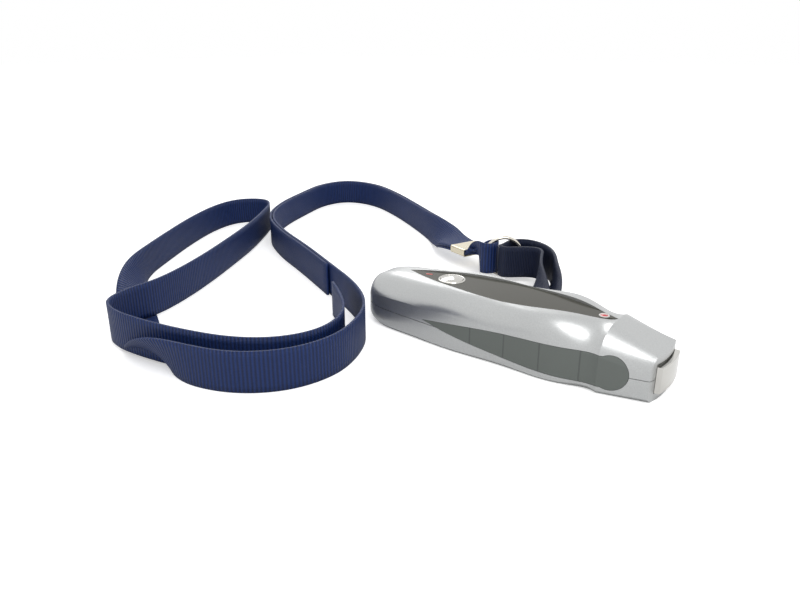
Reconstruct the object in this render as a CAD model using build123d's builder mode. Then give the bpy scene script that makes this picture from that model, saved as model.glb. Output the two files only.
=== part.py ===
"""Hand-held digital luggage scale: bar-shaped case, pull-out battery drawer, load strap, ring and lanyard.

Frame: +X towards the nose with the battery drawer, +Y the side that the load strap leaves, +Z up through the
window. The origin is under the middle of the case, on the plane that it lies on. Millimetres.
"""
import os
from math import cos, radians, sin, tan

from build123d import *

os.makedirs("parts", exist_ok=True)

# ---------------------------------------------------------------- driving dimensions
LENGTH = 124.0            # round end to the front of the drawer pull
WIDTH = 34.0              # widest place of the case
HEIGHT = 22.5             # top of the case
WALL = 2.0
PART_Z = 8.0              # parting plane of the two shells
PART_GAP = 0.2            # groove between the shells

NOSE_HALF = 11.3          # half width of the nose end
NOSE_SAG = 1.6            # how far the nose end bulges
PULL_PROUD = 1.8          # the drawer pull stands out this far

GRIP_T = 1.0              # soft inlay in each flank
GRIP_GAP = 0.15
GRIP_TAIL = -28.0         # sharp end of the inlay
GRIP_HEAD = 52.0          # round end of the inlay
GRIP_LOW = 3.0
GRIP_HIGH = 13.8

WINDOW_TAIL = -45.0
WINDOW_HEAD = 42.0
WINDOW_HALF = 10.6
WINDOW_T = 1.2
WINDOW_SINK = 0.7         # window face below the top of the case
WINDOW_LEDGE = 1.6        # width of the step that it sits on
LEDGE_T = 1.2
WINDOW_GAP = 0.1

BUTTON_X = -25.2
BUTTON_R = 4.4
BUTTON_RISE = 1.3         # dome above the window
BUTTON_TRAVEL = 0.6
BEZEL_R = 5.4
BEZEL_LIP = 0.35
BEZEL_GAP = 0.12          # all round the button and the light

LIGHT_X = 37.0
LIGHT_R = 1.3
LIGHT_RIM = 0.5

BOARD_Z = 14.3
BOARD_T = 1.2
BOARD_TAIL = -41.0
BOARD_HEAD = 43.0
BOARD_HALF = 10.6
BOARD_POSTS = [(-36.0, 6.5), (-36.0, -6.5), (25.0, 8.4), (25.0, -8.4)]
POST_R = 1.9

DISPLAY_X = 4.0
DISPLAY_L = 30.0
DISPLAY_W = 13.0
DISPLAY_T = 1.8
FRAME_RIM = 1.2

STRAP_W = 15.0            # load strap webbing
STRAP_T = 1.2
STRAP_Z = 8.0
STRAP_GAP = 0.9           # half the distance between the middles of its two plies
SLOT_GAP = 0.7            # webbing to the guide
GUIDE_RIM = 1.6
GUIDE_DEPTH = 3.4

BEAM_TAIL = -9.0          # load cell: free end under the strap, fixed end towards the nose
BEAM_HEAD = 35.5
BEAM_W = 9.0
BEAM_H = 7.5
BEAM_Z = 4.0
FLEX_R = 3.4              # holes that leave the thin flexing walls
FLEX_AT = [6.5, 16.5]
GAUGE_T = 0.2

CLAMP_WALL = 1.2
CLAMP_REACH = 6.8

SCREW_R = 1.0             # thread of the case and board screws
HEAD_R = 1.9
HEAD_T = 1.3
BOSS_R = 2.5
CASE_SCREWS = [(-52.0, 0.0), (31.0, 11.6), (31.0, -11.6)]
BEAM_SCREW_R = 1.5
BEAM_SCREWS = [25.0, 31.5]
THREAD_GAP = 0.03

CELL_R = 8.0              # coin cell, 16 mm across and 3.2 mm thick
CELL_T = 3.2
CELL_X = 47.0
TRAY_FLOOR = 1.0
TRAY_Z = 4.4
TRAY_TAIL = 37.0
TRAY_GAP = 0.3            # running gap of the drawer
PULL_LOW = 3.0
PULL_HIGH = 12.3
PULL_HALF = 8.8
PULL_T = 2.5
CONTACT_T = 0.3
RAIL_W = 3.0

WEB_W = 15.0              # lanyard webbing
WEB_T = 1.0
PLY_GAP = 0.8             # half the distance between the middles of the lanyard's two plies
CRIMP_L = 11.0
CRIMP_WALL = 0.5
RING_R = 9.2              # split ring, to the middle of its wire
WIRE_R = 0.7
RING_AT = (-43.5, 74.0, RING_R + WIRE_R + 0.1)
RING_AXIS = (-0.64, 0.77, 0.0)

# ---------------------------------------------------------------- derived places
PULL_X = LENGTH / 2
NOSE_X = PULL_X - PULL_PROUD
NOSE_R = (NOSE_HALF**2 + NOSE_SAG**2) / (2 * NOSE_SAG)
WINDOW_Z = HEIGHT - WINDOW_SINK
BOARD_TOP = BOARD_Z + BOARD_T
SIDE_Y = WIDTH / 2
LEDGE_Z = WINDOW_Z - WINDOW_T - LEDGE_T

# Shape of the case, station by station: place along it as a share of half the length, then half width,
# top, half width of the flat top and underside, as shares of half the width and of the height.
TAIL_SHAPE = [
    (-1.000, 0.26, 0.62, 0.10, 0.28),
    (-0.965, 0.50, 0.78, 0.18, 0.13),
    (-0.890, 0.68, 0.89, 0.20, 0.04),
    (-0.720, 0.83, 0.97, 0.19, 0.00),
    (-0.450, 0.93, 1.00, 0.50, 0.00),
    (-0.100, 0.99, 1.00, 0.66, 0.00),
    (0.200, 1.00, 1.00, 0.66, 0.00),
    (0.480, 0.98, 1.00, 0.46, 0.00),
    (0.680, 0.91, 0.97, 0.20, 0.00),
]
NOSE_END = (1.000, 0.66, 0.64, 0.60, 0.02)
SHOULDER = 0.62           # height of the crease below the shoulder, as a share of the top
FOOT = 1.8                # rounding along the underside
UNDERCUT = 0.6            # drawn this much deeper, then cut flat on the plane that it lies on


def case_section(shape, inset, plane):
    """One cross-section of the case, moved inwards by inset."""
    _, half, top, flat, base = shape
    y = half * SIDE_Y - inset
    z_top = top * HEIGHT - inset
    y_flat = max(flat * SIDE_Y - 0.6 * inset, 0.4)
    z_base = base * HEIGHT + inset - UNDERCUT
    z_side = max(SHOULDER * top * HEIGHT, z_base + FOOT + 0.5)
    bulge = 0.16
    mid = (
        (y + y_flat) / 2 + bulge * (z_top - z_side),
        (z_top + z_side) / 2 + bulge * (y - y_flat),
    )
    with BuildSketch(plane) as section:
        with BuildLine():
            Line((-(y - FOOT), z_base), (y - FOOT, z_base))
            Line((y - FOOT, z_base), (y, z_base + FOOT))
            Line((y, z_base + FOOT), (y, z_side))
            ThreePointArc((y, z_side), mid, (y_flat, z_top))
            Line((y_flat, z_top), (-y_flat, z_top))
            ThreePointArc((-y_flat, z_top), (-mid[0], mid[1]), (-y, z_side))
            Line((-y, z_side), (-y, z_base + FOOT))
            Line((-y, z_base + FOOT), (-(y - FOOT), z_base))
        make_face()
    return section.sketch


def case_body(inset):
    """The closed outer shape of the case, or the same shape moved inwards."""
    half = LENGTH / 2
    tail_sections = []
    for shape in TAIL_SHAPE:
        x = shape[0] * half + (inset if shape is TAIL_SHAPE[0] else 0)
        tail_sections.append(case_section(shape, inset, Plane.YZ.offset(x)))
    nose_sections = [tail_sections[-1], case_section(NOSE_END, inset, Plane.YZ.offset(NOSE_END[0] * half))]
    with BuildPart() as nose:
        loft(nose_sections, ruled=True)
        with Locations((NOSE_X - NOSE_R, 0)):
            Cylinder(NOSE_R - inset, 4 * HEIGHT, mode=Mode.INTERSECT)
    with BuildPart() as case:
        loft(tail_sections)
        add(nose.part)
        split(bisect_by=Plane.XY.offset(inset), keep=Keep.TOP)
    return case.part


OUTER = case_body(0.0)
MIDDLE = case_body(GRIP_T)
CAVITY = case_body(WALL)


def save(piece, name):
    """Labels a finished piece and writes it as its own file."""
    piece.part.label = name
    export_step(piece.part, f"parts/{name}.step")


def grip_outline(gap):
    """Long drop outline of the flank inlay, in the XZ plane."""
    mid_z = (GRIP_LOW + GRIP_HIGH) / 2
    head = GRIP_HEAD - (GRIP_HIGH - GRIP_LOW) * 0.8
    middle = (GRIP_TAIL + head) / 2
    tail = (GRIP_TAIL - 3 * gap, mid_z + 1.0)
    with BuildSketch() as outline:
        with BuildLine():
            ThreePointArc(tail, (middle, GRIP_HIGH - 1.0 + gap), (head, GRIP_HIGH + gap))
            ThreePointArc((head, GRIP_HIGH + gap), (GRIP_HEAD + gap, mid_z), (head, GRIP_LOW - gap))
            ThreePointArc((head, GRIP_LOW - gap), (middle, GRIP_LOW + 0.9 - gap), tail)
        make_face()
    return outline.sketch


def grip_zone(side, gap):
    """Skin of the case inside the inlay's outline, on the side that faces side * Y."""
    with BuildPart() as zone:
        with BuildSketch(Plane.XZ):
            add(grip_outline(gap))
        extrude(amount=-side * WIDTH)
        add(OUTER, mode=Mode.INTERSECT)
        add(MIDDLE, mode=Mode.SUBTRACT)
    return zone.part


def guide_block(grow, depth):
    """Rounded block round the strap's slot, reaching inwards from the flank."""
    with BuildPart() as block:
        with BuildSketch(Plane.XZ):
            with Locations((0, STRAP_Z)):
                RectangleRounded(STRAP_W + 2 * grow, 2 * (STRAP_GAP + STRAP_T / 2 + grow), 1.2)
        extrude(amount=-WIDTH)
        with BuildSketch(Plane.XZ.offset(-(SIDE_Y - depth))):
            Rectangle(4 * STRAP_W, 4 * HEIGHT)
        extrude(amount=WIDTH, mode=Mode.SUBTRACT)
        add(OUTER, mode=Mode.INTERSECT)
    return block.part


def window_outline(inset):
    """Leaf outline of the window."""
    tail = (WINDOW_TAIL + 3 * inset, 0)
    head = (WINDOW_HEAD - 3 * inset, 0)
    middle = (WINDOW_TAIL + WINDOW_HEAD) / 2
    with BuildSketch() as outline:
        with BuildLine():
            ThreePointArc(tail, (middle, WINDOW_HALF - inset), head)
            ThreePointArc(head, (middle, -WINDOW_HALF + inset), tail)
        make_face()
    return outline.sketch


def drawer_opening():
    """Passage for the drawer's tray and the shallow seat of its pull."""
    with BuildPart() as opening:
        with BuildSketch(Plane.YZ.offset(TRAY_TAIL - TRAY_GAP)):
            with Locations((0, TRAY_Z + (TRAY_FLOOR + CELL_T) / 2)):
                Rectangle(2 * (CELL_R + 2 * TRAY_GAP), TRAY_FLOOR + CELL_T + 2 * TRAY_GAP)
        extrude(amount=LENGTH / 2)
        with BuildSketch(Plane.XY.offset(PULL_LOW - TRAY_GAP)):
            with Locations((NOSE_X, 0)):
                Rectangle(2 * NOSE_SAG + 6, 2 * (PULL_HALF + TRAY_GAP))
            with Locations((NOSE_X - NOSE_R, 0)):
                Circle(NOSE_R - (PULL_T - PULL_PROUD + TRAY_GAP), mode=Mode.SUBTRACT)
        extrude(amount=PULL_HIGH - PULL_LOW + 4 * TRAY_GAP)
    return opening.part


# ---------------------------------------------------------------- case
with BuildPart() as upper_bosses:
    with BuildSketch(Plane.XY.offset(LEDGE_Z)):
        add(window_outline(-WINDOW_LEDGE))
    extrude(amount=LEDGE_T)
    with BuildSketch(Plane.XY.offset(PART_Z - 2)):
        with Locations(*CASE_SCREWS):
            Circle(BOSS_R)
    extrude(amount=HEIGHT)
    with BuildSketch(Plane.XY.offset(BOARD_TOP)):
        with Locations(*BOARD_POSTS):
            Circle(POST_R)
    extrude(amount=HEIGHT)
    add(MIDDLE, mode=Mode.INTERSECT)

with BuildPart() as upper_shell:
    add(OUTER)
    add(CAVITY, mode=Mode.SUBTRACT)
    split(bisect_by=Plane.XY.offset(PART_Z + PART_GAP / 2), keep=Keep.TOP)
    add(upper_bosses.part)
    add(grip_zone(-1, GRIP_GAP), mode=Mode.SUBTRACT)
    add(grip_zone(1, GRIP_GAP), mode=Mode.SUBTRACT)
    add(guide_block(SLOT_GAP + GUIDE_RIM, GUIDE_DEPTH), mode=Mode.SUBTRACT)
    add(drawer_opening(), mode=Mode.SUBTRACT)
    with BuildSketch(Plane.XY.offset(WINDOW_Z - WINDOW_T)):
        add(window_outline(-WINDOW_GAP))
    extrude(amount=HEIGHT, mode=Mode.SUBTRACT)
    with BuildSketch(Plane.XY.offset(LEDGE_Z - 1)):
        add(window_outline(WINDOW_LEDGE))
        with Locations((LIGHT_X, 0)):
            Circle(LIGHT_R + LIGHT_RIM + 0.3)
    extrude(amount=HEIGHT, mode=Mode.SUBTRACT)
    with BuildSketch(Plane.XY.offset(PART_Z - 3)):
        with Locations(*CASE_SCREWS):
            Circle(SCREW_R + THREAD_GAP)
    extrude(amount=8, mode=Mode.SUBTRACT)
    with BuildSketch(Plane.XY.offset(BOARD_TOP - 1)):
        with Locations(*BOARD_POSTS):
            Circle(SCREW_R + THREAD_GAP)
    extrude(amount=4, mode=Mode.SUBTRACT)
save(upper_shell, "upper_shell")

with BuildPart() as lower_bosses:
    with BuildSketch(Plane.XY.offset(WALL / 2)):
        with Locations(*CASE_SCREWS):
            Circle(BOSS_R)
    extrude(amount=PART_Z - 2 - WALL / 2)
    with BuildSketch(Plane.XY.offset(WALL / 2)):
        with Locations(*[(x, 0) for x in BEAM_SCREWS]):
            Circle(BEAM_W / 2 - 0.5)
    extrude(amount=BEAM_Z - WALL / 2)
    with BuildSketch(Plane.XY.offset(WALL / 2)):
        with Locations(((TRAY_TAIL + NOSE_X) / 2 - 1, 5.5), ((TRAY_TAIL + NOSE_X) / 2 - 1, -5.5)):
            Rectangle(NOSE_X - TRAY_TAIL - 4, RAIL_W)
    extrude(amount=TRAY_Z - TRAY_GAP - WALL / 2)

with BuildPart() as lower_shell:
    add(OUTER)
    add(CAVITY, mode=Mode.SUBTRACT)
    split(bisect_by=Plane.XY.offset(PART_Z - PART_GAP / 2), keep=Keep.BOTTOM)
    add(lower_bosses.part)
    add(grip_zone(-1, GRIP_GAP), mode=Mode.SUBTRACT)
    add(grip_zone(1, GRIP_GAP), mode=Mode.SUBTRACT)
    add(guide_block(SLOT_GAP + GUIDE_RIM, GUIDE_DEPTH), mode=Mode.SUBTRACT)
    add(drawer_opening(), mode=Mode.SUBTRACT)
    with Locations(*[(x, y, 0) for x, y in CASE_SCREWS]):
        Cylinder(SCREW_R + 0.2, PART_Z, align=(Align.CENTER, Align.CENTER, Align.MIN), mode=Mode.SUBTRACT)
        Cylinder(HEAD_R + 0.2, 2 * HEAD_T, align=(Align.CENTER, Align.CENTER, Align.MIN), mode=Mode.SUBTRACT)
    with Locations(*[(x, 0, WALL / 2 + 0.2) for x in BEAM_SCREWS]):
        Cylinder(
            BEAM_SCREW_R + THREAD_GAP, BEAM_Z, align=(Align.CENTER, Align.CENTER, Align.MIN), mode=Mode.SUBTRACT
        )
save(lower_shell, "lower_shell")

with BuildPart() as front_grip:
    add(grip_zone(-1, 0.0))
save(front_grip, "front_grip")

with BuildPart() as back_grip:
    add(grip_zone(1, 0.0))
    add(guide_block(SLOT_GAP + GUIDE_RIM + GRIP_GAP, GUIDE_DEPTH), mode=Mode.SUBTRACT)
save(back_grip, "back_grip")

with BuildPart() as strap_guide:
    add(guide_block(SLOT_GAP + GUIDE_RIM, GUIDE_DEPTH))
    add(guide_block(SLOT_GAP, GUIDE_DEPTH + 1), mode=Mode.SUBTRACT)
save(strap_guide, "strap_guide")

with BuildPart() as window:
    with BuildSketch(Plane.XY.offset(WINDOW_Z - WINDOW_T)):
        add(window_outline(0.0))
        with Locations((BUTTON_X, 0)):
            Circle(BEZEL_R - BEZEL_LIP, mode=Mode.SUBTRACT)
        with Locations((LIGHT_X, 0)):
            Circle(LIGHT_R + LIGHT_RIM, mode=Mode.SUBTRACT)
    extrude(amount=WINDOW_T)
save(window, "window")

# ---------------------------------------------------------------- button and light
BUTTON_PLANE = Plane(origin=(BUTTON_X, 0, 0), x_dir=(1, 0, 0), z_dir=(0, -1, 0))
LIGHT_PLANE = Plane(origin=(LIGHT_X, 0, 0), x_dir=(1, 0, 0), z_dir=(0, -1, 0))
BUTTON_AXIS = Axis((BUTTON_X, 0, 0), (0, 0, 1))
LIGHT_AXIS = Axis((LIGHT_X, 0, 0), (0, 0, 1))

with BuildPart() as button_bezel:
    with BuildSketch(BUTTON_PLANE):
        with BuildLine():
            bore = BUTTON_R + BEZEL_GAP
            seat = BEZEL_R - BEZEL_LIP
            Polyline(
                (bore, WINDOW_Z + 0.1),
                (bore, WINDOW_Z - WINDOW_T),
                (seat, WINDOW_Z - WINDOW_T),
                (seat, WINDOW_Z),
                (BEZEL_R, WINDOW_Z),
            )
            ThreePointArc((BEZEL_R, WINDOW_Z), ((bore + BEZEL_R) / 2, WINDOW_Z + 0.45), (bore, WINDOW_Z + 0.1))
        make_face()
    revolve(axis=BUTTON_AXIS)
save(button_bezel, "button_bezel")

FLANGE_Z = WINDOW_Z - WINDOW_T - BEZEL_GAP
SWITCH_TOP = BOARD_TOP + 3.2


def domed_stud(x, radius, low, rim, top):
    """Upright round stud with a shallow dome, on the centre line."""
    sphere_r = (radius**2 + (top - rim)**2) / (2 * (top - rim))
    with BuildPart() as dome:
        with Locations((x, 0, rim)):
            Cylinder(radius, top - rim, align=(Align.CENTER, Align.CENTER, Align.MIN))
        with Locations((x, 0, top - sphere_r)):
            Sphere(sphere_r, mode=Mode.INTERSECT)
        with Locations((x, 0, rim)):
            Cylinder(radius, rim - low, align=(Align.CENTER, Align.CENTER, Align.MAX))
    return dome.part


with BuildPart() as button_cap:
    add(domed_stud(BUTTON_X, BUTTON_R, FLANGE_Z, WINDOW_Z + 0.35, WINDOW_Z + BUTTON_RISE))
    with Locations((BUTTON_X, 0, FLANGE_Z)):
        Cylinder(BEZEL_R - 0.3, 0.7, align=(Align.CENTER, Align.CENTER, Align.MAX))
        Cylinder(2.0, FLANGE_Z - SWITCH_TOP - BUTTON_TRAVEL - 0.2, align=(Align.CENTER, Align.CENTER, Align.MAX))
save(button_cap, "button_cap")

PLUNGER_R = 1.7
with BuildPart() as switch_plunger:
    with Locations((BUTTON_X, 0, SWITCH_TOP - 0.6)):
        Cylinder(PLUNGER_R, BUTTON_TRAVEL + 0.8, align=(Align.CENTER, Align.CENTER, Align.MIN))
save(switch_plunger, "switch_plunger")

with BuildPart() as switch_body:
    with Locations((BUTTON_X, 0, BOARD_TOP)):
        Box(6.2, 6.2, SWITCH_TOP - BOARD_TOP, align=(Align.CENTER, Align.CENTER, Align.MIN))
    chamfer(switch_body.faces().sort_by(Axis.Z)[-1].edges(), 0.3)
    with Locations((BUTTON_X, 0, SWITCH_TOP - 0.6 - BUTTON_TRAVEL - 0.1)):
        Cylinder(PLUNGER_R + 0.05, 5, align=(Align.CENTER, Align.CENTER, Align.MIN), mode=Mode.SUBTRACT)
save(switch_body, "switch_body")

LIGHT_BASE_Z = BOARD_TOP + 0.6
with BuildPart() as status_light:
    add(domed_stud(LIGHT_X, LIGHT_R, LIGHT_BASE_Z + 1, WINDOW_Z, WINDOW_Z + 0.4))
save(status_light, "status_light")

with BuildPart() as light_ring:
    with BuildSketch(LIGHT_PLANE):
        with BuildLine():
            ring_bore = LIGHT_R + 0.05
            ring_edge = LIGHT_R + LIGHT_RIM
            Polyline(
                (ring_bore, WINDOW_Z), (ring_bore, WINDOW_Z - WINDOW_T), (ring_edge, WINDOW_Z - WINDOW_T), (ring_edge, WINDOW_Z)
            )
            ThreePointArc((ring_edge, WINDOW_Z), ((ring_bore + ring_edge) / 2, WINDOW_Z + 0.25), (ring_bore, WINDOW_Z))
        make_face()
    revolve(axis=LIGHT_AXIS)
save(light_ring, "light_ring")

with BuildPart() as light_base:
    with Locations((LIGHT_X, 0, LIGHT_BASE_Z)):
        Cylinder(LIGHT_R + 0.3, 1.0, align=(Align.CENTER, Align.CENTER, Align.MIN))
    with Locations((LIGHT_X - 0.7, 0, BOARD_TOP), (LIGHT_X + 0.7, 0, BOARD_TOP)):
        Box(0.4, 0.4, 0.6, align=(Align.CENTER, Align.CENTER, Align.MIN))
save(light_base, "light_base")

# ---------------------------------------------------------------- electronics
with BuildPart() as main_board:
    with BuildSketch(Plane.XY.offset(BOARD_Z)):
        with Locations(((BOARD_TAIL + BOARD_HEAD) / 2, 0)):
            RectangleRounded(BOARD_HEAD - BOARD_TAIL, 2 * BOARD_HALF, 2.0)
        with Locations(*CASE_SCREWS):
            Circle(BOSS_R + 0.4, mode=Mode.SUBTRACT)
        with Locations(*BOARD_POSTS):
            Circle(SCREW_R + 0.15, mode=Mode.SUBTRACT)
    extrude(amount=BOARD_T)
save(main_board, "main_board")


def screw(radius, head_radius, head_t, length):
    """Pan-head screw along +Z: the head from 0 to head_t, then the shank, with a cross recess."""
    with BuildPart() as fastener:
        Cylinder(head_radius, head_t, align=(Align.CENTER, Align.CENTER, Align.MIN))
        fillet(fastener.edges().filter_by(GeomType.CIRCLE).sort_by(Axis.Z)[:1], 0.35 * head_t)
        with Locations((0, 0, head_t)):
            Cylinder(radius, length, align=(Align.CENTER, Align.CENTER, Align.MIN))
        Box(1.4 * head_radius, 0.35 * head_radius, head_t, mode=Mode.SUBTRACT)
        Box(0.35 * head_radius, 1.4 * head_radius, head_t, mode=Mode.SUBTRACT)
    return fastener.part


CASE_SCREW = screw(SCREW_R, HEAD_R, HEAD_T, 7.0)
BOARD_SCREW = screw(SCREW_R, HEAD_R, HEAD_T, 4.0)
BEAM_SCREW = screw(BEAM_SCREW_R, 2.6, 1.6, BEAM_H + 1.6)

with BuildPart() as case_screws:
    with Locations(*[(x, y, HEAD_T) for x, y in CASE_SCREWS]):
        add(CASE_SCREW)
save(case_screws, "case_screws")

with BuildPart() as board_screws:
    with Locations(*[(x, y, BOARD_Z - HEAD_T) for x, y in BOARD_POSTS]):
        add(BOARD_SCREW)
save(board_screws, "board_screws")

DISPLAY_TOP = LEDGE_Z - 0.2
with BuildPart() as display_glass:
    with Locations((DISPLAY_X, 0, DISPLAY_TOP - DISPLAY_T)):
        Box(DISPLAY_L, DISPLAY_W, DISPLAY_T, align=(Align.CENTER, Align.CENTER, Align.MIN))
save(display_glass, "display_glass")

with BuildPart() as display_frame:
    with BuildSketch(Plane.XY.offset(BOARD_TOP)):
        with Locations((DISPLAY_X, 0)):
            RectangleRounded(DISPLAY_L + 2 * FRAME_RIM, DISPLAY_W + 2 * FRAME_RIM, 0.6)
            Rectangle(DISPLAY_L + 0.1, DISPLAY_W + 0.1, mode=Mode.SUBTRACT)
    extrude(amount=DISPLAY_TOP - BOARD_TOP)
save(display_frame, "display_frame")

CONNECTOR_W = 1.6
with BuildPart() as display_connectors:
    for side in (-1, 1):
        with Locations((DISPLAY_X, side * (DISPLAY_W - CONNECTOR_W) / 2, BOARD_TOP)):
            Box(
                DISPLAY_L - 1, CONNECTOR_W, DISPLAY_TOP - DISPLAY_T - BOARD_TOP,
                align=(Align.CENTER, Align.CENTER, Align.MIN),
            )
save(display_connectors, "display_connectors")

CHIPS = [(-12.0, 7.0, 7.0), (14.0, 5.0, 6.0)]
with BuildPart() as chips:
    for x, length, width in CHIPS:
        with Locations((x, 0, BOARD_Z)):
            Box(length, width, 1.2, align=(Align.CENTER, Align.CENTER, Align.MAX))
save(chips, "chips")

with BuildPart() as buzzer:
    with Locations((BUTTON_X, 0, BOARD_Z)):
        Cylinder(4.8, 3.6, align=(Align.CENTER, Align.CENTER, Align.MAX))
    with Locations((BUTTON_X, 0, BOARD_Z - 3.6)):
        Cylinder(0.8, 1.0, align=(Align.CENTER, Align.CENTER, Align.MIN), mode=Mode.SUBTRACT)
save(buzzer, "buzzer")

# ---------------------------------------------------------------- load cell
with BuildPart() as load_cell:
    with BuildSketch(Plane.XY.offset(BEAM_Z)):
        with Locations(((BEAM_TAIL + BEAM_HEAD) / 2, 0)):
            Rectangle(BEAM_HEAD - BEAM_TAIL, BEAM_W)
        with Locations(*[(x, 0) for x in FLEX_AT]):
            Circle(FLEX_R, mode=Mode.SUBTRACT)
        with Locations((sum(FLEX_AT) / 2, 0)):
            Rectangle(FLEX_AT[1] - FLEX_AT[0], 2.0, mode=Mode.SUBTRACT)
        with Locations(*[(x, 0) for x in BEAM_SCREWS]):
            Circle(BEAM_SCREW_R + 0.1, mode=Mode.SUBTRACT)
    extrude(amount=BEAM_H)
save(load_cell, "load_cell")

with BuildPart() as strain_gauges:
    for x in FLEX_AT:
        for side in (-1, 1):
            with Locations((x, side * (BEAM_W + GAUGE_T) / 2, BEAM_Z + BEAM_H / 2)):
                Box(5.0, GAUGE_T, 3.0)
save(strain_gauges, "strain_gauges")

with BuildPart() as load_cell_screws:
    with Locations(*[Location((x, 0, BEAM_Z + BEAM_H + 1.6), (180, 0, 0)) for x in BEAM_SCREWS]):
        add(BEAM_SCREW)
save(load_cell_screws, "load_cell_screws")

CLAMP_BACK = BEAM_W / 2
JAW_GAP = STRAP_GAP + STRAP_T / 2 + 0.1
RIVETS = [-5.0, 5.0]
RIVET_R = 1.0
RIVET_Y = CLAMP_BACK + CLAMP_WALL + 3.2
with BuildPart() as strap_clamp:
    with BuildSketch(Plane.YZ.offset(-(STRAP_W / 2 + CLAMP_WALL))):
        with Locations((CLAMP_BACK, STRAP_Z)):
            Rectangle(CLAMP_WALL + CLAMP_REACH, 2 * (JAW_GAP + CLAMP_WALL), align=(Align.MIN, Align.CENTER))
        with Locations((CLAMP_BACK + CLAMP_WALL, STRAP_Z)):
            Rectangle(CLAMP_REACH, 2 * JAW_GAP, align=(Align.MIN, Align.CENTER), mode=Mode.SUBTRACT)
    extrude(amount=STRAP_W + 2 * CLAMP_WALL)
    with Locations((FLEX_AT[0] - FLEX_R, CLAMP_BACK, STRAP_Z)):
        Box(STRAP_W, CLAMP_WALL, 3 * STRAP_Z, align=(Align.MIN, Align.MIN, Align.CENTER), mode=Mode.SUBTRACT)
    with Locations(*[(x, RIVET_Y, STRAP_Z) for x in RIVETS]):
        Cylinder(RIVET_R + 0.05, 3 * STRAP_Z, mode=Mode.SUBTRACT)
save(strap_clamp, "strap_clamp")

with BuildPart() as clamp_rivets:
    jaw = JAW_GAP + CLAMP_WALL
    with Locations(*[(x, RIVET_Y, STRAP_Z) for x in RIVETS]):
        Cylinder(RIVET_R, 2 * jaw)
    with Locations(*[(x, RIVET_Y, STRAP_Z + jaw) for x in RIVETS]):
        Cylinder(1.7 * RIVET_R, 0.6, align=(Align.CENTER, Align.CENTER, Align.MIN))
    with Locations(*[(x, RIVET_Y, STRAP_Z - jaw) for x in RIVETS]):
        Cylinder(1.7 * RIVET_R, 0.6, align=(Align.CENTER, Align.CENTER, Align.MAX))
save(clamp_rivets, "clamp_rivets")

# ---------------------------------------------------------------- battery drawer
TRAY_TOP = TRAY_Z + TRAY_FLOOR + CELL_T
PULL_SEAT_R = NOSE_R + PULL_PROUD - PULL_T
with BuildPart() as battery_tray:
    with Locations((TRAY_TAIL, 0, TRAY_Z)):
        Box(
            NOSE_X - TRAY_TAIL, 2 * (CELL_R + TRAY_GAP), TRAY_FLOOR + CELL_T,
            align=(Align.MIN, Align.CENTER, Align.MIN),
        )
    with Locations((NOSE_X - NOSE_R, 0, 0)):
        Cylinder(PULL_SEAT_R, 4 * HEIGHT, mode=Mode.INTERSECT)
    with Locations((CELL_X, 0, TRAY_Z + TRAY_FLOOR)):
        Cylinder(CELL_R + 0.1, 2 * CELL_T, align=(Align.CENTER, Align.CENTER, Align.MIN), mode=Mode.SUBTRACT)
        Box(CELL_R, 3 * CELL_R, 2 * CELL_T, align=(Align.CENTER, Align.CENTER, Align.MIN), mode=Mode.SUBTRACT)
    with Locations((TRAY_TAIL, 0, TRAY_Z)):
        Box(8, 5, 3 * CELL_T, mode=Mode.SUBTRACT)
save(battery_tray, "battery_tray")

with BuildPart() as coin_cell:
    with Locations((CELL_X, 0, TRAY_Z + TRAY_FLOOR)):
        Cylinder(CELL_R, 0.8 * CELL_T, align=(Align.CENTER, Align.CENTER, Align.MIN))
    with Locations((CELL_X, 0, TRAY_TOP)):
        Cylinder(CELL_R - 1.2, 0.2 * CELL_T, align=(Align.CENTER, Align.CENTER, Align.MAX))
save(coin_cell, "coin_cell")

with BuildPart() as drawer_pull:
    with BuildSketch(Plane.XY.offset(PULL_LOW)):
        with Locations((NOSE_X - NOSE_R, 0)):
            Circle(NOSE_R + PULL_PROUD)
            Circle(PULL_SEAT_R, mode=Mode.SUBTRACT)
        with Locations((PULL_X, 0)):
            Rectangle(4 * PULL_T, 2 * PULL_HALF, mode=Mode.INTERSECT)
    extrude(amount=PULL_HIGH - PULL_LOW)
    fillet(drawer_pull.edges().group_by(Axis.X)[-1], 0.4)
save(drawer_pull, "drawer_pull")

FINGER_Z = TRAY_TOP + 0.25
FINGER_Y = -3.0
with BuildPart() as contact_top:
    with Locations((TRAY_TAIL - 0.8, FINGER_Y, FINGER_Z)):
        Box(CELL_X - TRAY_TAIL + 3, 2.4, CONTACT_T, align=(Align.MIN, Align.CENTER, Align.MIN))
        Box(CONTACT_T, 2.4, BOARD_Z - FINGER_Z, align=(Align.MIN, Align.CENTER, Align.MIN))
save(contact_top, "contact_top")

RIM_FOOT = TRAY_Z + TRAY_FLOOR + 0.4
with BuildPart() as contact_rim:
    with Locations((CELL_X - CELL_R - 0.25, 0.8, RIM_FOOT)):
        Box(CONTACT_T, 2.0, BOARD_Z - RIM_FOOT, align=(Align.MAX, Align.CENTER, Align.MIN))
save(contact_rim, "contact_rim")

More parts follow.
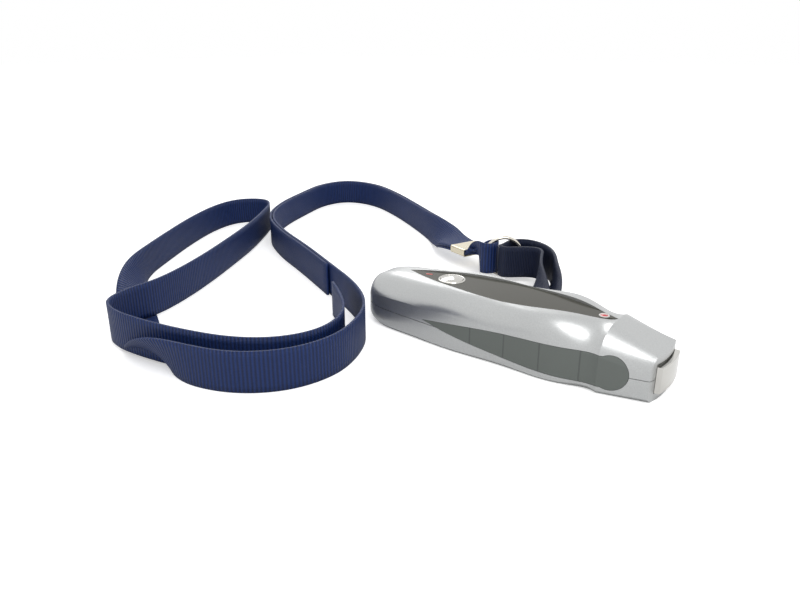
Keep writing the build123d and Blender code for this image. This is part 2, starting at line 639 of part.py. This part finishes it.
# ---------------------------------------------------------------- ring, webbing and crimp
# Routes of the webbing: x, y, z and lean. A lean of 0 stands the band on its edge, 90 lays it flat.
LOAD_ROUTE = [
    (0, 5.8, 7.1, 90), (0, 20, 7.1, 90), (-1, 33, 7.6, 60), (-4, 46, 9.0, 30), (-9, 58, 9.8, 8),
    (-14, 69, 10, 0), (-21, 78, 10, 0), (-30, 83.5, 10, 0), (-37.5, 83.5, 10, 0), (-42.3, 78.1, 10, 0),
    (-41.3, 71.2, 10, 0), (-41.8, 67.2, 10, 0), (-39.3, 64.8, 10, 0), (-35.5, 67, 10, 0),
    (-30, 72, 10, 0), (-25, 74, 10, 0), (-21, 70.5, 10, 0), (-18, 63, 10, 0), (-14, 52, 9.8, -10),
    (-9.5, 41, 9.4, -35), (-4.5, 30, 9.1, -65), (0, 20, 8.9, -90), (0, 5.8, 8.9, -90),
]
DOUBLE_ROUTE = [
    (-66.3, 79.5, 8.3, 90), (-79, 84, 8.3, 90), (-91, 93, 8.0, 42), (-106, 104, 7.6, 6), (-131, 121, 7.6, 0),
    (-161, 140, 7.6, 0), (-190, 154, 7.6, 0), (-214, 152, 7.6, 0), (-219, 131, 7.6, 0), (-210, 104, 7.6, 0),
    (-199, 74, 7.6, 0), (-182, 48, 7.6, 0), (-154, 30, 7.6, 0), (-122, 16, 7.6, 0), (-92, 1, 7.6, 0),
]
OUTER_ROUTE = [
    (-66, -11, 7.6, 0), (-48, -25, 7.6, 0), (-39, -41, 7.6, 0), (-35, -58, 7.6, 0), (-40, -76, 7.6, 0),
    (-54, -89, 7.6, 0), (-74, -94, 7.6, 0), (-92, -92, 6.2, -40), (-108, -85, 0.7, -90), (-127, -74, 0.7, -90),
    (-146, -64, 0.7, -90), (-164, -53, 6.2, -40), (-180, -36, 7.6, 0), (-196, -11, 7.6, 0), (-213, 17, 7.6, 0),
    (-226, 44, 7.6, 0), (-229, 64, 7.6, 0), (-218, 75, 7.6, 0), (-204, 70, 8.0, 0), (-189, 50, 8.5, 0),
    (-172, 25, 9.0, 0), (-159, 1, 9.0, 0), (-147, -22, 9.0, 0), (-137, -44, 9.0, 0), (-131, -62, 9.0, 0),
    (-131, -76, 9.0, 0), (-126, -88, 9.0, 0), (-114, -92, 9.0, 0), (-98, -91, 9.0, 0), (-80, -87, 8.4, 0),
    (-62, -80, 7.6, 0), (-49, -70, 7.6, 0), (-43, -56, 7.6, 0), (-46, -41, 7.6, 0), (-58, -27, 7.6, 0),
    (-74, -16, 7.6, 0),
]
TAB_ROUTE = [
    (-66.1, 79.43, 7.5, 90), (-56.6, 76.1, 7.5, 90), (-54.6, 70.6, 9.0, 25), (-52.3, 66.0, 10, 0),
    (-48.3, 64.4, 10, 0), (-45.2, 67.3, 10, 0), (-45.0, 72.2, 10, 0), (-49.4, 75.8, 10, -15),
    (-56.6, 76.1, 9.1, -90), (-66.1, 79.43, 9.1, -90),
]


def band_frame(direction, lean):
    """Width and thickness directions of a band that runs along a direction with a lean."""
    level = direction.cross(Vector(0, 0, 1)).normalized()
    up = level.cross(direction).normalized()
    width = up * cos(radians(lean)) + level * sin(radians(lean))
    return width, width.cross(direction).normalized()


def beside(route, distance):
    """The same route moved sideways through the band's thickness."""
    moved = []
    for i, (x, y, z, lean) in enumerate(route):
        before = Vector(*route[max(i - 1, 0)][:3])
        after = Vector(*route[min(i + 1, len(route) - 1)][:3])
        _, through = band_frame((after - before).normalized(), lean)
        moved.append((*(Vector(x, y, z) + through * distance), lean))
    return moved


def band_path(route):
    """Straight runs joined by tangent arcs, each as large as its two runs allow."""
    points = [Vector(*row[:3]) for row in route]
    radii = []
    for before, here, after in zip(points, points[1:], points[2:]):
        run = min((here - before).length, (after - here).length)
        turn = (here - before).get_angle(after - here)
        radii.append(0.45 * run / tan(radians(turn) / 2))
    with BuildLine() as path:
        FilletPolyline(*points, radius=radii)
    return path.wires()[0], radii


def band(name, route, width, thickness, step=5.0):
    """Solid of a flat band: ruled sections set square to its path."""
    path, radii = band_path(route)
    points = [Vector(*row[:3]) for row in route]
    marks = [0.0]
    for before, here in zip(points, points[1:]):
        marks.append(marks[-1] + (here - before).length)
    count = round(path.length / step)
    sections = []
    for i in range(count + 1):
        share = i / count
        at = path.position_at(share * path.length, position_mode=PositionMode.LENGTH)
        direction = path.tangent_at(share * path.length, position_mode=PositionMode.LENGTH)
        place = share * marks[-1]
        k = max(j for j in range(len(marks) - 1) if marks[j] <= place + 1e-9)
        part_way = (place - marks[k]) / (marks[k + 1] - marks[k])
        lean = route[k][3] + (route[k + 1][3] - route[k][3]) * part_way
        across, through = band_frame(direction, lean)
        half_height = (width * abs(across.Z) + thickness * abs(through.Z)) / 2
        centre = Vector(at.X, at.Y, max(at.Z, half_height + 0.03))
        with BuildSketch(Plane(origin=centre, x_dir=through, z_dir=direction)) as section:
            Rectangle(thickness, width)
        sections.append(section.sketch)
    with BuildPart() as solid:
        loft(sections, ruled=True)
    print(
        f"{name}: length {path.length:.1f}, volume {solid.part.volume:.0f},",
        f"section x length {width * thickness * path.length:.0f}, smallest radius {min(radii):.1f}",
    )
    return solid.part


with BuildPart() as load_strap:
    add(band("load_strap", LOAD_ROUTE, STRAP_W, STRAP_T, step=2.5))
    with Locations(*[(x, RIVET_Y, STRAP_Z) for x in RIVETS]):
        Cylinder(RIVET_R + 0.05, 3 * STRAP_Z, mode=Mode.SUBTRACT)
save(load_strap, "load_strap")

with BuildPart() as lanyard_outer:
    add(band("lanyard_outer", beside(DOUBLE_ROUTE, PLY_GAP) + OUTER_ROUTE, WEB_W, WEB_T))
save(lanyard_outer, "lanyard_outer")

with BuildPart() as lanyard_inner:
    add(band("lanyard_inner", beside(DOUBLE_ROUTE, -PLY_GAP), WEB_W, WEB_T))
save(lanyard_inner, "lanyard_inner")

with BuildPart() as lanyard_tab:
    add(band("lanyard_tab", TAB_ROUTE, WEB_W, WEB_T, step=1.5))
save(lanyard_tab, "lanyard_tab")

RING_PLANE = Plane(origin=RING_AT, x_dir=(0, 0, 1), z_dir=RING_AXIS)
with BuildPart() as split_ring:
    with BuildSketch(Plane(origin=RING_AT, x_dir=RING_PLANE.x_dir, z_dir=RING_PLANE.y_dir)):
        with Locations((RING_R, WIRE_R * 0.9), (RING_R, -WIRE_R * 0.9)):
            Circle(WIRE_R)
    revolve(axis=Axis(RING_AT, RING_AXIS))
save(split_ring, "split_ring")

CRIMP_AT = Vector(*DOUBLE_ROUTE[0][:3])
CRIMP_ALONG = CRIMP_AT - Vector(*DOUBLE_ROUTE[1][:3])
CRIMP_PLANE = Plane(origin=CRIMP_AT, x_dir=(CRIMP_ALONG.X, CRIMP_ALONG.Y, 0), z_dir=(0, 0, 1))
CRIMP_GAP = 0.1
with BuildPart() as lanyard_crimp:
    hollow = 2 * PLY_GAP + WEB_T + 2 * CRIMP_GAP
    with BuildSketch(Plane(origin=CRIMP_AT, x_dir=CRIMP_PLANE.y_dir, z_dir=CRIMP_PLANE.x_dir)):
        RectangleRounded(WEB_W + 2 * (CRIMP_GAP + CRIMP_WALL), hollow + 2 * CRIMP_WALL, 0.8)
        RectangleRounded(WEB_W + 2 * CRIMP_GAP, hollow, 0.3, mode=Mode.SUBTRACT)
    extrude(amount=CRIMP_L / 2, both=True)
save(lanyard_crimp, "lanyard_crimp")
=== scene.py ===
"""Hand-held digital luggage scale on a pale table: case, window, button, light, drawer, strap, ring and lanyard."""
import math

import bmesh
import bpy
from mathutils import Matrix, Vector


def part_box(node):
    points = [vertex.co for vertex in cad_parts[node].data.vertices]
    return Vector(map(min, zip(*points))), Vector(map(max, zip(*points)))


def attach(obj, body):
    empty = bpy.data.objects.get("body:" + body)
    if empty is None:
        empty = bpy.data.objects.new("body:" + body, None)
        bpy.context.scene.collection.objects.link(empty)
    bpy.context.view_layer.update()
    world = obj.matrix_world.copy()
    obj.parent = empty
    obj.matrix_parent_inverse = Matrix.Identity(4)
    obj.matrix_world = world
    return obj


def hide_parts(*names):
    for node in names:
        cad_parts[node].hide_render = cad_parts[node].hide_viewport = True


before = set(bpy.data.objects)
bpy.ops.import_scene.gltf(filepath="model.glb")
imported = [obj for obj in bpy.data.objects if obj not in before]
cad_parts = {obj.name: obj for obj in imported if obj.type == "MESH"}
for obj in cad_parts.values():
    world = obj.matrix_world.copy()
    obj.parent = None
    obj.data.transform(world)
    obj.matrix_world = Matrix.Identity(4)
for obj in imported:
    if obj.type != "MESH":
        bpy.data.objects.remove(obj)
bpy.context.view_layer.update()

MM = 0.001

# ---------------------------------------------------------------- camera
# A low three-quarter look along the drawer end of the case, with a moderately wide lens.
CAMERA_AT = (0.1162, -0.2184, 0.1112)
LENS_MM = 31.5
SENSOR_MM = 36.0
LOOK_DOWN = 20.7
LOOK_LEFT = 37.4

camera_data = bpy.data.cameras.new("camera")
camera_data.lens = LENS_MM
camera_data.sensor_width = SENSOR_MM
camera_data.clip_start = 0.01
camera = bpy.data.objects.new("camera", camera_data)
camera.location = CAMERA_AT
camera.rotation_euler = (math.radians(90 - LOOK_DOWN), 0, math.radians(LOOK_LEFT))
bpy.context.scene.collection.objects.link(camera)
bpy.context.scene.camera = camera


# ---------------------------------------------------------------- lanyard webbing
# Ribbed navy grosgrain, 15 mm wide and 1 mm thick, woven with a cord-like rib across it.
# It leaves the crimp as two plies, opens into a long loop and lies mostly on its edge.
class Value:
    """A socket or a number that adds Math nodes when it is used in a sum."""

    def __init__(self, maker, socket):
        self.maker = maker
        self.socket = socket

    def math(self, operation, other=None, swap=False):
        inputs = [self, other] if other is not None else [self]
        if swap:
            inputs.reverse()
        return self.maker.node("ShaderNodeMath", {"operation": operation}, dict(enumerate(inputs)))

    def __add__(self, other):
        return self.math("ADD", other)

    def __sub__(self, other):
        return self.math("SUBTRACT", other)

    def __rsub__(self, other):
        return self.math("SUBTRACT", other, True)

    def __mul__(self, other):
        return self.math("MULTIPLY", other)

    def __gt__(self, other):
        return self.math("GREATER_THAN", other)

    def __lt__(self, other):
        return self.math("LESS_THAN", other)

    __radd__ = __add__
    __rmul__ = __mul__


class Finish:
    """A named material with one Principled shader, and the nodes that drive it."""

    def __init__(self, name, **settings):
        self.material = bpy.data.materials.new(name)
        self.material.use_nodes = True
        self.tree = self.material.node_tree
        self.shader = self.tree.nodes["Principled BSDF"]
        for label, value in settings.items():
            self.put(label.replace("_", " "), value)

    def node(self, kind, settings, inputs, output=0):
        made = self.tree.nodes.new(kind)
        for label, value in settings.items():
            setattr(made, label, value)
        for label, value in inputs.items():
            if isinstance(value, Value):
                self.tree.links.new(value.socket, made.inputs[label])
            else:
                made.inputs[label].default_value = value
        return Value(self, made.outputs[output])

    def put(self, label, value):
        if isinstance(value, Value):
            self.tree.links.new(value.socket, self.shader.inputs[label])
        elif isinstance(value, tuple):
            self.shader.inputs[label].default_value = (*value, 1)
        else:
            self.shader.inputs[label].default_value = value

    def mix(self, share, low, high):
        return self.node(
            "ShaderNodeMix",
            {"data_type": "RGBA"},
            {0: share, 6: (*low, 1) if isinstance(low, tuple) else low, 7: (*high, 1) if isinstance(high, tuple) else high},
            output=2,
        )

    def axis(self, label, source="Object"):
        place = self.node("ShaderNodeTexCoord", {}, {}, output=source)
        return self.node("ShaderNodeSeparateXYZ", {}, {0: place}, output=label)

    def grain(self, scale, detail=2.0):
        place = self.node("ShaderNodeTexCoord", {}, {}, output="Object")
        return self.node("ShaderNodeTexNoise", {}, {"Vector": place, "Scale": scale, "Detail": detail})

    def relief(self, height, distance, strength=1.0):
        self.put(
            "Normal",
            self.node("ShaderNodeBump", {}, {"Height": height, "Distance": distance, "Strength": strength}),
        )


WEB_W = 15.0
WEB_T = 1.0
PLY_GAP = 0.8
RIB_PITCH = 1.4
LOFT = 0.03

DOUBLE_ROUTE = [
    (-66.3, 79.5, 8.3, 90), (-79, 84, 8.3, 90), (-91, 93, 8.0, 42), (-106, 104, 7.6, 6), (-131, 121, 7.6, 0),
    (-161, 140, 7.6, 0), (-190, 154, 7.6, 0), (-214, 152, 7.6, 0), (-219, 131, 7.6, 0), (-210, 104, 7.6, 0),
    (-199, 74, 7.6, 0), (-182, 48, 7.6, 0), (-154, 30, 7.6, 0), (-122, 16, 7.6, 0), (-92, 1, 7.6, 0),
]
OUTER_ROUTE = [
    (-66, -11, 7.6, 0), (-48, -25, 7.6, 0), (-39, -41, 7.6, 0), (-35, -58, 7.6, 0), (-40, -76, 7.6, 0),
    (-54, -89, 7.6, 0), (-74, -94, 7.6, 0), (-92, -92, 6.2, -40), (-108, -85, 0.7, -90), (-127, -74, 0.7, -90),
    (-146, -64, 0.7, -90), (-164, -53, 6.2, -40), (-180, -36, 7.6, 0), (-196, -11, 7.6, 0), (-213, 17, 7.6, 0),
    (-226, 44, 7.6, 0), (-229, 64, 7.6, 0), (-218, 75, 7.6, 0), (-204, 70, 8.0, 0), (-189, 50, 8.5, 0),
    (-172, 25, 9.0, 0), (-159, 1, 9.0, 0), (-147, -22, 9.0, 0), (-137, -44, 9.0, 0), (-131, -62, 9.0, 0),
    (-131, -76, 9.0, 0), (-126, -88, 9.0, 0), (-114, -92, 9.0, 0), (-98, -91, 9.0, 0), (-80, -87, 8.4, 0),
    (-62, -80, 7.6, 0), (-49, -70, 7.6, 0), (-43, -56, 7.6, 0), (-46, -41, 7.6, 0), (-58, -27, 7.6, 0),
    (-74, -16, 7.6, 0),
]
TAB_ROUTE = [
    (-66.1, 79.43, 7.5, 90), (-56.6, 76.1, 7.5, 90), (-54.6, 70.6, 9.0, 25), (-52.3, 66.0, 10, 0),
    (-48.3, 64.4, 10, 0), (-45.2, 67.3, 10, 0), (-45.0, 72.2, 10, 0), (-49.4, 75.8, 10, -15),
    (-56.6, 76.1, 9.1, -90), (-66.1, 79.43, 9.1, -90),
]


def band_frame(direction, lean):
    """Width and thickness directions of a band that runs along a direction with a lean in degrees."""
    level = direction.cross(Vector((0, 0, 1))).normalized()
    up = level.cross(direction).normalized()
    width = up * math.cos(math.radians(lean)) + level * math.sin(math.radians(lean))
    return width, width.cross(direction).normalized()


def beside(route, distance):
    """The same route moved sideways through the band's thickness."""
    moved = []
    for i, row in enumerate(route):
        before = Vector(route[max(i - 1, 0)][:3])
        after = Vector(route[min(i + 1, len(route) - 1)][:3])
        through = band_frame((after - before).normalized(), row[3])[1]
        moved.append((*(Vector(row[:3]) + through * distance), row[3]))
    return moved


def spline_points(name, rows):
    """Points along a smooth line that is steered by the rows."""
    curve = bpy.data.curves.new(name, "CURVE")
    curve.dimensions = "3D"
    spline = curve.splines.new("NURBS")
    spline.points.add(len(rows) - 1)
    for point, row in zip(spline.points, rows):
        point.co = (*row, 1)
    spline.order_u = 3
    spline.use_endpoint_u = True
    spline.resolution_u = 12
    holder = bpy.data.objects.new(name, curve)
    line = bpy.data.meshes.new_from_object(holder)
    points = [vertex.co.copy() for vertex in line.vertices]
    bpy.data.objects.remove(holder)
    bpy.data.curves.remove(curve)
    bpy.data.meshes.remove(line)
    return points


def finish_piece(bm, name, finish, body, smooth=True):
    """Turns a bmesh into an object at the origin that rides on a body."""
    mesh = bpy.data.meshes.new(name)
    bm.to_mesh(mesh)
    bm.free()
    mesh.materials.append(finish.material)
    for polygon in mesh.polygons:
        polygon.use_smooth = smooth
    piece = bpy.data.objects.new(name, mesh)
    bpy.context.scene.collection.objects.link(piece)
    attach(piece, body)
    return piece


ACROSS = 6


def webbing(name, route, width, thickness, finish, node):
    """A woven band along a route in millimetres. Returns it with the points of its middle line in metres."""
    places = spline_points("line", [row[:3] for row in route])
    leans = spline_points("leans", [(row[3], 0, 0) for row in route])
    bm = bmesh.new()
    weave = bm.loops.layers.uv.new("weave")
    along = bm.verts.layers.float.new("along")
    aside = bm.verts.layers.float.new("aside")
    middle = []
    travelled = 0.0
    row = []
    for i, place in enumerate(places):
        before = places[max(i - 1, 0)]
        after = places[min(i + 1, len(places) - 1)]
        across, through = band_frame((after - before).normalized(), leans[i].x)
        half_height = (width * abs(across.z) + thickness * abs(through.z)) / 2
        centre = Vector((place.x, place.y, max(place.z, half_height + LOFT)))
        if middle:
            travelled += (centre - middle[-1]).length
            edges = [bm.edges.get(pair) for pair in zip(row, row[1:])]
            grown = bmesh.ops.extrude_edge_only(bm, edges=edges)["geom"]
            new = [item for item in grown if isinstance(item, bmesh.types.BMVert)]
            row = sorted(new, key=lambda vertex: vertex[aside])
        else:
            row = [bm.verts.new((0, 0, 0)) for _ in range(ACROSS + 1)]
            for k, vertex in enumerate(row):
                vertex[aside] = k / ACROSS
            for pair in zip(row, row[1:]):
                bm.edges.new(pair)
        for vertex in row:
            vertex.co = (centre + across * width * (vertex[aside] - 0.5)) * MM
            vertex[along] = travelled
        middle.append(centre)
    for face in bm.faces:
        for loop in face.loops:
            loop[weave].uv = (loop.vert[aside] * width, loop.vert[along])
    bmesh.ops.recalc_face_normals(bm, faces=bm.faces)
    piece = finish_piece(bm, name, finish, "case")
    wall = piece.modifiers.new("thickness", "SOLIDIFY")
    wall.thickness = thickness * MM
    wall.offset = 0
    wall.use_even_offset = True
    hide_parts(node)
    return piece, [list(point * MM) for point in middle]


def woven_finish(name, light, dark, pitch):
    """Ribbed cloth: rib crowns painted lighter as painted highlight, hollows painted darker as painted shade."""
    finish = Finish(name, Roughness=0.5, Specular_IOR_Level=0.35)
    run = finish.axis("Y", "UV") * (2 * math.pi / pitch)
    rib = run.math("SINE") * 0.5 + 0.5
    thread = (finish.axis("X", "UV") * (2 * math.pi / 0.55)).math("SINE") * 0.5 + 0.5
    patch = finish.grain(60.0)
    # Rib crowns take the lighter colour as painted highlight and hollows the darker colour as painted shade; the
    # noise patch is random tone.
    finish.put("Base Color", finish.mix(rib * 0.8 + patch * 0.2, dark, light))
    finish.relief(rib + thread * 0.2, 0.00025)
    return finish


# First colour: painted highlight on the rib crowns; second colour: painted shade in the hollows.
navy = woven_finish("navy_grosgrain", (0.008, 0.032, 0.15), (0.003, 0.010, 0.045), RIB_PITCH)

lanyard_outer, outer_line = webbing(
    "lanyard_outer_band", beside(DOUBLE_ROUTE, PLY_GAP) + OUTER_ROUTE, WEB_W, WEB_T, navy, "lanyard_outer"
)
lanyard_inner, inner_line = webbing(
    "lanyard_inner_band", beside(DOUBLE_ROUTE, -PLY_GAP), WEB_W, WEB_T, navy, "lanyard_inner"
)
lanyard_tab, tab_line = webbing("lanyard_tab_band", TAB_ROUTE, WEB_W, WEB_T, navy, "lanyard_tab")

# ---------------------------------------------------------------- load strap
# Tight dark navy webbing, 15 mm wide and 1.2 mm thick. It is clamped inside the case, goes out through the
# slot in the flank, folds round the ring and comes back beside itself, so it is made as two plies.
STRAP_T = 1.2
LOAD_OUT = [
    (0, 5.8, 7.1, 90), (0, 20, 7.1, 90), (-1, 33, 7.6, 60), (-4, 46, 9.0, 30), (-9, 58, 9.8, 8),
    (-14, 69, 10, 0), (-21, 78, 10, 0), (-30, 83.5, 10, 0), (-37.5, 83.5, 10, 0), (-42.3, 78.1, 10, 0),
    (-41.3, 71.2, 10, 0), (-41.8, 67.2, 10, 0),
]
LOAD_BACK = [
    (-41.8, 67.2, 10, 0), (-39.3, 64.8, 10, 0), (-35.5, 67, 10, 0), (-30, 72, 10, 0), (-25, 74, 10, 0),
    (-21, 70.5, 10, 0), (-18, 63, 10, 0), (-14, 52, 9.8, -10), (-9.5, 41, 9.4, -35), (-4.5, 30, 9.1, -65),
    (0, 20, 8.9, -90), (0, 5.8, 8.9, -90),
]

# First colour: painted highlight on the rib crowns; second colour: painted shade in the hollows.
strap_blue = woven_finish("navy_tight_weave", (0.006, 0.014, 0.050), (0.003, 0.006, 0.020), 0.8)
strap_out, out_line = webbing("load_strap_outgoing", LOAD_OUT, WEB_W, STRAP_T, strap_blue, "load_strap")
strap_back, back_line = webbing("load_strap_returning", LOAD_BACK, WEB_W, STRAP_T, strap_blue, "load_strap")

# ---------------------------------------------------------------- case shells
# Two moulded plastic halves in satin silver metallic paint, with a fine flake under the lacquer.
# A narrow parting groove runs round the flank, below the soft inlays.
def dress(finish, *nodes):
    """Gives moulded or bought pieces their finish."""
    for name in nodes:
        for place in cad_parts[name].material_slots:
            place.material = finish.material


silver = Finish("silver_paint", Metallic=0.8, Coat_Weight=0.25, Coat_Roughness=0.12)
flake = silver.grain(2600.0, 1.0)
silver.put("Base Color", silver.mix(flake, (0.44, 0.45, 0.45), (0.58, 0.59, 0.59)))
silver.put("Roughness", flake * 0.08 + 0.28)
dress(silver, "upper_shell", "lower_shell")

# ---------------------------------------------------------------- flank inlays
# Soft-touch rubber pads, grey-green and matt, let into a drop-shaped recess in each flank.
# Each carries a few faint moulded lines across it, sunk by a bump and painted darker as painted shade in the
# grooves.
RIBS_AT = (-6.0, 8.0, 22.0, 36.0)
inlay = Finish("soft_grey_rubber", Roughness=0.62)
place_x = inlay.axis("X")
line_mask = None
for rib_x in RIBS_AT:
    near = (place_x - rib_x * MM).math("ABSOLUTE") < 0.25 * MM
    line_mask = near if line_mask is None else line_mask + near
# The lines take the darker colour as painted shade in the grooves; the bump sinks them.
inlay.put("Base Color", inlay.mix(line_mask, (0.13, 0.145, 0.135), (0.095, 0.105, 0.10)))
inlay.relief(1 - line_mask, 0.0002)
dress(inlay, "front_grip", "back_grip")

# ---------------------------------------------------------------- window, button and light
# A smoked gloss window sunk into the top, a plated dome button in a plated bezel, and a red lens in a pale
# ring at the other end.
smoked = Finish("smoked_window", Base_Color=(0.030, 0.028, 0.015), Roughness=0.15, Specular_IOR_Level=0.25, Coat_Weight=0.1)
dress(smoked, "window")
chrome = Finish("bright_plate", Base_Color=(0.62, 0.61, 0.58), Metallic=1.0, Roughness=0.1)
dress(chrome, "button_bezel", "button_cap", "drawer_pull")
red_lens = Finish("red_lens", Base_Color=(0.55, 0.012, 0.02), Roughness=0.12, Coat_Weight=1.0)
dress(red_lens, "status_light")
pale_ring = Finish("pale_ring", Base_Color=(0.82, 0.80, 0.78), Roughness=0.35)
dress(pale_ring, "light_ring")

# ---------------------------------------------------------------- bar mark beside the button
# A small slanted bar, printed in red on the window.
BAR_X = -36.0
BAR_L = 2.6
BAR_W = 0.9
PRINT_T = 0.05
red_ink = Finish("red_print", Base_Color=(0.60, 0.03, 0.02), Roughness=0.4)
window_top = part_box("window")[1].z
bm = bmesh.new()
bmesh.ops.create_cube(bm, size=1.0)
bmesh.ops.scale(bm, vec=Vector((BAR_L, BAR_W, PRINT_T)) * MM, verts=bm.verts)
bmesh.ops.rotate(bm, cent=(0, 0, 0), matrix=Matrix.Rotation(math.radians(20), 3, "Z"), verts=bm.verts)
bmesh.ops.translate(bm, vec=(BAR_X * MM, 0, window_top + PRINT_T / 2 * MM), verts=bm.verts)
finish_piece(bm, "bar_mark", red_ink, "case", smooth=False)

# ---------------------------------------------------------------- ring and crimp
# Nickel-plated spring wire, and a folded sheet-metal crimp with a warmer tint.
nickel = Finish("nickel_wire", Base_Color=(0.74, 0.70, 0.62), Metallic=1.0, Roughness=0.14)
dress(nickel, "split_ring")
crimp = Finish("warm_nickel_sheet", Base_Color=(0.72, 0.65, 0.50), Metallic=1.0, Roughness=0.2)
dress(crimp, "lanyard_crimp")

# ---------------------------------------------------------------- inside pieces
# Board, display, load cell, clamp, tray, cell and contacts, seen when the drawer is out or the case is open.
black = Finish("black_moulding", Base_Color=(0.02, 0.02, 0.022), Roughness=0.5)
dress(black, "strap_guide", "switch_plunger", "switch_body", "light_base", "display_frame", "chips", "buzzer")
board = Finish("green_solder_mask", Base_Color=(0.02, 0.13, 0.05), Roughness=0.3)
dress(board, "main_board")
glass = Finish("crystal_glass", Base_Color=(0.35, 0.39, 0.31), Roughness=0.08)
dress(glass, "display_glass")
zebra = Finish("pink_elastomer", Base_Color=(0.45, 0.18, 0.24), Roughness=0.7)
dress(zebra, "display_connectors")
aluminium = Finish("milled_aluminium", Base_Color=(0.75, 0.76, 0.77), Metallic=1.0, Roughness=0.35)
dress(aluminium, "load_cell")
foil = Finish("gauge_foil", Base_Color=(0.62, 0.38, 0.14), Metallic=0.6, Roughness=0.4)
dress(foil, "strain_gauges")
zinc = Finish("zinc_plate", Base_Color=(0.60, 0.60, 0.58), Metallic=1.0, Roughness=0.38)
dress(zinc, "case_screws", "board_screws", "load_cell_screws", "strap_clamp", "clamp_rivets")
tray = Finish("grey_moulding", Base_Color=(0.16, 0.16, 0.17), Roughness=0.5)
dress(tray, "battery_tray")
steel = Finish("cell_steel", Base_Color=(0.74, 0.74, 0.73), Metallic=1.0, Roughness=0.3)
dress(steel, "coin_cell")
bronze = Finish("spring_bronze", Base_Color=(0.74, 0.56, 0.26), Metallic=1.0, Roughness=0.3)
dress(bronze, "contact_top", "contact_rim")

# ---------------------------------------------------------------- table, light and background
# A pale table under a soft studio light. The white beyond it is the world's own colour.
TABLE_SIZE = 6.0
bm = bmesh.new()
bmesh.ops.create_grid(bm, x_segments=1, y_segments=1, size=TABLE_SIZE / 2)
table_mesh = bpy.data.meshes.new("table")
bm.to_mesh(table_mesh)
bm.free()
table_finish = Finish("pale_table", Base_Color=(0.93, 0.93, 0.93), Roughness=0.9)
seen = table_finish.node("ShaderNodeLightPath", {}, {}, output="Is Camera Ray")
table_finish.put("Emission Color", (1.0, 1.0, 1.0))
table_finish.put("Emission Strength", seen * 0.45)
table_mesh.materials.append(table_finish.material)
table = bpy.data.objects.new("table", table_mesh)
bpy.context.scene.collection.objects.link(table)


def soft_light(name, at, target, size, watts):
    """A square soft box that looks at a point."""
    data = bpy.data.lights.new(name, "AREA")
    data.size = size
    data.energy = watts
    lamp = bpy.data.objects.new(name, data)
    lamp.location = at
    lamp.rotation_euler = (Vector(target) - Vector(at)).to_track_quat("-Z", "Y").to_euler()
    bpy.context.scene.collection.objects.link(lamp)


soft_light("key", (0.35, -0.25, 0.75), (-0.05, 0.0, 0.0), 0.45, 3.2)
soft_light("rim", (-0.55, 0.55, 0.60), (-0.05, 0.03, 0.0), 0.40, 1.8)

world = bpy.data.worlds.new("studio")
bpy.context.scene.world = world
world.use_nodes = True
sky = world.node_tree
background = sky.nodes["Background"]
background.inputs["Color"].default_value = (1, 1, 1, 1)
rays = sky.nodes.new("ShaderNodeLightPath")
straight = sky.nodes.new("ShaderNodeMath")
straight.operation = "MAXIMUM"
sky.links.new(rays.outputs["Is Camera Ray"], straight.inputs[0])
sky.links.new(rays.outputs["Is Transmission Ray"], straight.inputs[1])
level = sky.nodes.new("ShaderNodeMapRange")
level.inputs["To Min"].default_value = 0.6
level.inputs["To Max"].default_value = 1.0
shown = sky.nodes.new("ShaderNodeMath")
shown.operation = "MAXIMUM"
sky.links.new(straight.outputs[0], shown.inputs[0])
sky.links.new(rays.outputs["Is Glossy Ray"], shown.inputs[1])
sky.links.new(shown.outputs[0], level.inputs["Value"])
sky.links.new(level.outputs[0], background.inputs["Strength"])

bpy.context.scene.view_settings.view_transform = "Standard"
